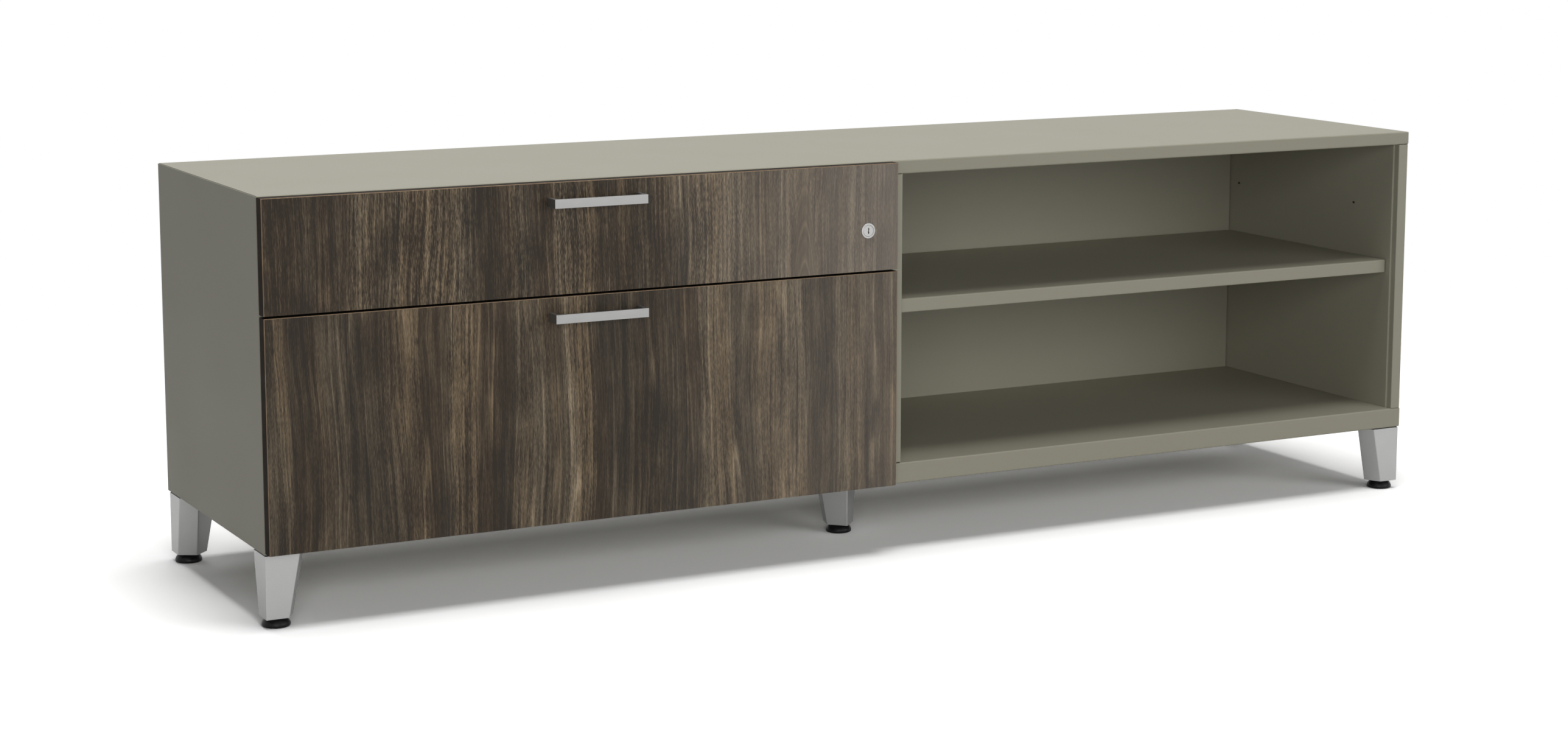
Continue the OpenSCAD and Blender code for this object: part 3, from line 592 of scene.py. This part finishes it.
# Inner frame: the rail between the two drawers and the fixed halves of the drawer
# slides, roll-formed from steel strip and bright zinc plated.
slide_zinc = metal("slide_zinc", (0.60, 0.62, 0.64), 0.3, grain=(1, 0.05, 1), fineness=500)
coat(paint, "divider_rail")
for drawer in ("upper", "lower"):
    for member in ("case", "middle", "drawer"):
        for word in ("left", "right"):
            coat(slide_zinc, f"{drawer}_slide_{member}_{word}")


# Top panel: a steel pan like the bottom panel but shallower, stiffened below by two
# channels. It lies on the walls, and its fascia covers the side panels' ends.
bm = bmesh.new()
case_pan(bm, fascia_z, top_z)
make_piece("top_sheet", bm, [paint], "case", ["top_panel"])
coat(paint, "top_stiffeners")


# Shelf: a steel sheet folded down on four sides, with lips under its front and rear
# edges. It lies loose on four zinc clips hooked into the walls' slots.
low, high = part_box("shelf")
shelf_t, shelf_lip, shelf_fold = 0.001, 0.010, 0.0012
bm = bmesh.new()
prism(bm, "x", low.x, high.x, [
    (low.y + shelf_lip, low.z), (low.y, low.z, shelf_fold), (low.y, high.z, bend),
    (high.y, high.z, bend), (high.y, low.z, shelf_fold), (high.y - shelf_lip, low.z),
    (high.y - shelf_lip, low.z + shelf_t), (high.y - shelf_t, low.z + shelf_t),
    (high.y - shelf_t, high.z - shelf_t, bend - shelf_t),
    (low.y + shelf_t, high.z - shelf_t, bend - shelf_t),
    (low.y + shelf_t, low.z + shelf_t), (low.y + shelf_lip, low.z + shelf_t)])
for end, inward in ((low.x, 1), (high.x, -1)):
    prism(bm, "x", end, end + inward * shelf_t, [
        (low.y + 2 * shelf_t, low.z), (low.y + 2 * shelf_t, high.z - shelf_t),
        (high.y - 2 * shelf_t, high.z - shelf_t), (high.y - 2 * shelf_t, low.z)])
make_piece("folded_shelf", bm, [paint], "loose_shelf", ["shelf"])
coat(zinc, "shelf_clips")


# Drawer boxes: a shallow pan behind each front, and a tray with lipped sides, all of
# thin painted steel. The lower drawer has two zinc rails for hanging files.
for drawer in ("upper", "lower"):
    coat(paint, drawer + "_front_pan", drawer + "_tray", drawer + "_tray_back")
coat(zinc, "file_rails")


# Drawer fronts: particle board faced with a dark walnut laminate whose grain runs up
# and down, edged in a matching dark band. A fine pale line round the front's top and side
# edges is a painted highlight of the rounded edge, over the laminate's paler core.
def laminate(name, seed, crisp, painted_sheen, left, width, joints, bands, threads, arch, knots):
    """Walnut print: staves with soft tan bands, growth lines, pores and small knots.
    Crisp is the strength of its fine grain. The next argument is a painted sheen,
    how far the print pales towards the right.
    Places are metres from the left. Staves meet at the joints. Bands are (place, 0 for dark
    to 1 for tan), threads the places of long pale lines, the arch (place, height of its
    top, steepness), and knots (place, height, reach)."""
    wood = bpy.data.materials.new(name)
    sheet = Sheet(wood)
    here = sheet.node("ShaderNodeTexCoord", {}, {}, out="Object")
    across = sheet.node("ShaderNodeSeparateXYZ", {}, {0: here}, out=0) - left
    up = sheet.node("ShaderNodeSeparateXYZ", {}, {0: here}, out=2)
    own = sum((across.over(joint) for joint in joints), 0.0) * 7.3 + seed

    def streaks(along, wide, tall, detail, extra):
        """Upright grain from -1 to 1, about this wide and tall."""
        spot = sheet.node("ShaderNodeCombineXYZ", {}, {
            0: along / wide, 1: up / tall, 2: own + extra})
        return (sheet.node("ShaderNodeTexNoise", {}, {
            "Vector": spot, "Scale": 1.0, "Detail": detail}) - 0.5) * 4

    lean = (across + 0.0100 * streaks(across, 0.20, 0.50, 1, 0.0)
            + 0.0024 * streaks(across, 0.05, 0.18, 1, 1.7))
    core = 0.0
    for spot_x, spot_z, reach in knots:
        off, rise = across - spot_x, (up - spot_z) / 2.0
        nearness = 1 / (1 + (off / reach) ** 2 + (rise / reach) ** 2)
        lean = lean + off * nearness * 0.9
        core = core + (nearness - 0.80).held() * 4
    tan = sheet.node("ShaderNodeValToRGB", {
        "stops": [(place / width, (tone,) * 3) for place, tone in bands], "blend": "EASE"},
        {"Fac": lean / width})
    broad = streaks(lean, 0.026, 0.50, 1, 3.1)
    middle = streaks(lean, 0.0085, 0.28, 2, 5.3)
    growth = streaks(lean, 0.0034, 0.30, 1, 7.9)
    fibre = streaks(lean, 0.0012, 0.045, 2, 9.2)
    pores = streaks(across, 0.0008, 0.0065, 1, 11.4)
    cloud = streaks(across, 0.050, 0.085, 2, 13.6)
    vein = (1 - 9 * streaks(lean, 0.050, 1.3, 1, 17.0).absolute()).held() ** 2
    thread = (1 - 7 * streaks(lean, 0.016, 0.9, 1, 23.0).absolute()).held() ** 2
    ring = (1 - 6 * streaks(lean, 0.012, 0.55, 1, 29.0).absolute()).held()
    fine = (crisp * 0.135 * fibre + crisp * 0.090 * growth * (0.5 + 1.5 * tan)
            + crisp * 0.150 * pores * (0.6 + tan) + 0.140 * middle)
    gleam = sum(((1 - 900 * (lean - place).absolute()).held() for place in threads), 0.0)
    ribs = 0.0
    if arch:
        arch_x, arch_top, arch_rise = arch
        off = across - arch_x
        vault = (arch_top - up - arch_rise * off ** 2 + 0.004 * middle) / 0.052
        inside = vault.over(-0.15) * (1.3 - (off / 0.021) ** 2).held()
        fine = fine * (1 - 0.65 * inside)
        rib = (1 - 8 * ((vault + 0.5).fraction() - 0.5).absolute()).held()
        ribs = inside * (0.20 * rib + 0.04 * (14 * vault).wave())
    # One term below lightens the right-hand part of the board: painted sheen.
    tone = (0.10 + 0.31 * tan + 0.085 * broad + fine + 0.120 * cloud + ribs
            + 0.42 * vein * (0.5 + cloud).held() + 0.34 * thread * (0.3 + 0.8 * broad).held()
            + 0.34 * gleam * (0.7 + cloud).held() - 0.18 * ring * (0.3 + tan)
            + 0.5 * painted_sheen * (2.2 * across / width - 1.2).held() - 0.3 * core)
    colour = sheet.node("ShaderNodeValToRGB", {"stops": [
        (0.0, (0.028, 0.0200, 0.0130)), (0.22, (0.069, 0.050, 0.0320)),
        (0.45, (0.148, 0.108, 0.066)), (0.70, (0.262, 0.193, 0.118)),
        (1.0, (0.430, 0.322, 0.205))]}, {"Fac": tone})
    cool = (0.5 + 1.2 * streaks(lean, 0.040, 0.60, 1, 19.5)).held() * 0.30
    grey = sheet.node("ShaderNodeRGBToBW", {}, {"Color": colour})
    ash = sheet.node("ShaderNodeCombineColor", {},
                     {0: grey * 1.08, 1: grey * 1.01, 2: grey * 0.80})
    colour = sheet.mix(colour, ash, cool)
    # Towards the right the colour is mixed into a pale grey: painted sheen.
    sheen_paling = painted_sheen * (2.4 * across / width - 1.4).held()
    sheet.output("ShaderNodeOutputMaterial", sheet.node("ShaderNodeBsdfPrincipled", {}, {
        "Base Color": sheet.mix(colour, (0.244, 0.219, 0.194), sheen_paling),
        "Roughness": 0.44 + 0.03 * fibre - 0.03 * tan,
        "Specular IOR Level": 0.17,
        "Normal": sheet.bump(pores + 0.6 * fibre, 0.00002, 0.5)}))
    return wood


def edge_strip(name, dark, light):
    """Two tones in streaks across the board's thickness, for the edge banding, the backer,
    and the pale edge line that is partly painted highlight.
    """
    strip = bpy.data.materials.new(name)
    sheet = Sheet(strip)
    run = sheet.noise(sheet.place(scale=(260, 3, 40)), scale=1, detail=3)
    sheet.output("ShaderNodeOutputMaterial", sheet.node("ShaderNodeBsdfPrincipled", {}, {
        "Base Color": sheet.mix(dark, light, ((run - 0.42) * 3).held()), "Roughness": 0.6,
        "Specular IOR Level": 0.02, "Normal": sheet.bump(run, 0.00003, 0.4)}))
    return strip


band = edge_strip("dark_edge_band", (0.014, 0.0100, 0.007), (0.034, 0.024, 0.016))
# Pale tan for the bevel round the fronts' top and side edges: painted highlight of the rounded
# edge, over the laminate's paler core.
edge_highlight_and_core = edge_strip("laminate_core_and_painted_edge_highlight", (0.29, 0.205, 0.133), (0.42, 0.304, 0.200))
backer = edge_strip("backer_sheet", (0.045, 0.036, 0.029), (0.06, 0.048, 0.038))
board_low, board_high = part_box("upper_front")
board_w, rim_w = board_high.x - board_low.x, 0.0009
# In each call below, the third number is the strength of the board's painted sheen.
upper_wood = laminate(
    "upper_walnut_laminate", 3.1, 1.60, 0.62, board_low.x, board_w, (0.3964,),
    ((0.0, 0.25), (0.05, 0.1), (0.115, 0.12), (0.128, 0.75), (0.146, 0.7), (0.16, 0.3),
     (0.187, 0.75), (0.225, 0.9), (0.262, 0.8), (0.282, 0.1), (0.318, 0.05), (0.33, 0.6),
     (0.343, 0.55), (0.37, 0.1), (0.396, 0.2), (0.398, 0.95), (0.434, 0.8), (0.46, 0.15),
     (0.53, 0.2), (0.582, 0.3), (0.6, 0.85), (0.66, 0.7), (0.70, 0.3), (0.765, 0.55),
     (0.81, 0.25), (0.85, 0.7), (0.878, 0.6), (0.9, 0.2)),
    (0.1335, 0.1405, 0.163, 0.398, 0.61), (0.767, 0.532, 310),
    ((0.0598, 0.5143, 0.006), (0.4689, 0.503, 0.006)))
lower_wood = laminate(
    "lower_walnut_laminate", 11.7, 1.05, 0.28, board_low.x, board_w, (0.0304, 0.8882),
    ((0.0, 0.55), (0.03, 0.5), (0.032, 0.15), (0.09, 0.35), (0.13, 0.2), (0.17, 0.6),
     (0.206, 0.75), (0.214, 0.1), (0.245, 0.15), (0.252, 0.95), (0.279, 0.9), (0.29, 0.1),
     (0.332, 0.1), (0.338, 0.7), (0.37, 0.6), (0.4, 0.3), (0.407, 1.0), (0.443, 0.9),
     (0.452, 0.05), (0.50, 0.1), (0.54, 0.25), (0.605, 0.1), (0.612, 0.9), (0.65, 0.8),
     (0.68, 0.3), (0.70, 0.75), (0.755, 0.85), (0.775, 0.25), (0.82, 0.3), (0.83, 0.8),
     (0.855, 0.6), (0.89, 0.3)),
    (0.135, 0.304, 0.571, 0.586), None,
    ((0.2019, 0.3628, 0.007), (0.011, 0.3637, 0.007), (0.1082, 0.1674, 0.005),
     (0.361, 0.3672, 0.006), (0.8042, 0.2904, 0.008)))
for drawer, wood in (("upper", upper_wood), ("lower", lower_wood)):
    low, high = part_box(drawer + "_front")
    bm = bmesh.new()
    add_box(bm, low, high)
    for face in bm.faces:
        face.material_index = 1
        if abs(face.normal.y) > 0.5:
            face.material_index = 0 if face.normal.y < 0 else 3
    # The bevel round the front's top and side edges takes the pale material: painted highlight of
    # the rounded edge, over the paler core.
    rim = [edge for edge in bm.edges if all(abs(v.co.y - low.y) < hair for v in edge.verts)
           and max(v.co.z for v in edge.verts) > high.z - hair]
    bmesh.ops.bevel(bm, geom=rim, offset=rim_w, offset_type="OFFSET", segments=2,
                    profile=0.5, affect="EDGES", clamp_overlap=True, material=2)
    make_piece(drawer + "_laminate_front", bm, [wood, band, edge_highlight_and_core, backer],
               drawer + "_drawer", [drawer + "_front"], edge=0)


# Pulls: square bars of satin nickel with round inner corners, one near the top of each
# front, held from inside by two screws.
nickel = metal("satin_nickel", (0.27, 0.269, 0.265), 0.40, grain=(0.04, 1, 1), fineness=900,
               depth=0.000008, dull=0.05)
arm_w, bar_t, inner_r, outer_r = 0.0055, 0.0045, 0.006, 0.0006
for drawer in ("upper", "lower"):
    low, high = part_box(drawer + "_pull")
    bm = bmesh.new()
    prism(bm, "z", low.z, high.z, [
        (low.x, low.y, outer_r), (high.x, low.y, outer_r), (high.x, high.y),
        (high.x - arm_w, high.y), (high.x - arm_w, low.y + bar_t, inner_r),
        (low.x + arm_w, low.y + bar_t, inner_r), (low.x + arm_w, high.y), (low.x, high.y)])
    make_piece(drawer + "_bar_pull", bm, [nickel], drawer + "_drawer",
               [drawer + "_pull"], edge=0.0004)
    coat(zinc, drawer + "_pull_screws")


# Bumpers: soft rubber discs on the back of each front, where it meets the case.
soft_rubber = dark_plastic("soft_rubber", (0.03, 0.03, 0.03), 0.7)
coat(soft_rubber, "upper_bumpers", "lower_bumpers")


# Lock: a nickel-plated cylinder in the upper front, with a round-edged ring, a turning
# plug with a crooked key slot, and a steel cam behind that swings into the partition.
# Near-black metal for the walls inside the key slot: painted shade.
keyway_painted_shade = metal("slot_painted_shade", (0.008, 0.008, 0.008), 0.7)
bright = metal("bright_nickel", (0.33, 0.328, 0.322), 0.42, fineness=600, depth=0.000006,
               dull=0.06)
ring_low, ring_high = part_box("lock_housing")
plug_low, plug_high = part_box("lock_plug")
lock_x, lock_z = (ring_low.x + ring_high.x) / 2, (ring_low.z + ring_high.z) / 2
ring_r, plug_r = (ring_high.x - ring_low.x) / 2, (plug_high.x - plug_low.x) / 2
barrel_r, stem_r, stem_y, lock_sides = 0.0095, 0.004, ring_high.y, 72
bore_gap, rounding, chamfer, plug_edge_in, plug_edge_back = 0.00005, 0.0009, 0.0002, 0.0004, 0.0003
key_depth, slot_shade_reach, bore = 0.012, 0.0042, plug_r + bore_gap


def turned_part(profile):
    """Spins a closed line of (radius, y) round the lock's axis."""
    bm = bmesh.new()
    chain = [bm.verts.new((lock_x + r, y, lock_z)) for r, y in profile]
    ends = zip(chain, chain[1:] + ([chain[0]] if profile[0][0] else []))
    outline = [bm.edges.new(pair) for pair in ends]
    bmesh.ops.spin(bm, geom=[*chain, *outline], cent=(lock_x, 0, lock_z), axis=(0, 1, 0),
                   angle=2 * math.pi, steps=lock_sides, use_merge=True)
    bmesh.ops.remove_doubles(bm, verts=bm.verts, dist=hair)
    return bm


round_edge = [(ring_r - rounding + rounding * math.sin(a),
               ring_low.y + rounding * (1 - math.cos(a))) for a in quarter_turn]
bm = turned_part([(bore, ring_high.y), (bore, ring_low.y + chamfer),
                  (bore + chamfer, ring_low.y), *round_edge, (ring_r, board_low.y),
                  (barrel_r, board_low.y), (barrel_r, ring_high.y)])
make_piece("lock_ring", bm, [bright], "upper_drawer", ["lock_housing"], edge=0)
bm = turned_part([(0, plug_low.y), (plug_r - plug_edge_in, plug_low.y),
                  (plug_r, plug_low.y + plug_edge_back), (plug_r, stem_y), (stem_r, stem_y),
                  (stem_r, plug_high.y), (0, plug_high.y)])
tool = bmesh.new()
prism(tool, "y", plug_low.y - cut_before, plug_low.y + key_depth, [
    (lock_x + x / 1000, lock_z + z / 1000) for x, z in (
        (-0.9, -3.4), (-0.5, -4.3), (0.3, -4.3), (1.1, -3.4), (1.2, -1.7), (0.6, -1.2),
        (0.6, 0.5), (1.1, 1.2), (1.1, 3.2), (0.7, 4.3), (-0.1, 4.3), (-0.6, 3.4),
        (-0.5, 0.9), (-0.9, -1.0))])
bm = punched(bm, tool)
# Faces inside the key slot take the near-black metal: painted shade for the slot's dark inside.
for face in bm.faces:
    middle = face.calc_center_median()
    off = math.hypot(middle.x - lock_x, middle.z - lock_z)
    deep = middle.y - plug_low.y
    face.material_index = off < slot_shade_reach and chamfer < deep < key_depth + 0.0005
make_piece("lock_barrel", bm, [bright, keyway_painted_shade], "lock", ["lock_plug"], edge=0)
coat(zinc, "lock_nut", "lock_cam")
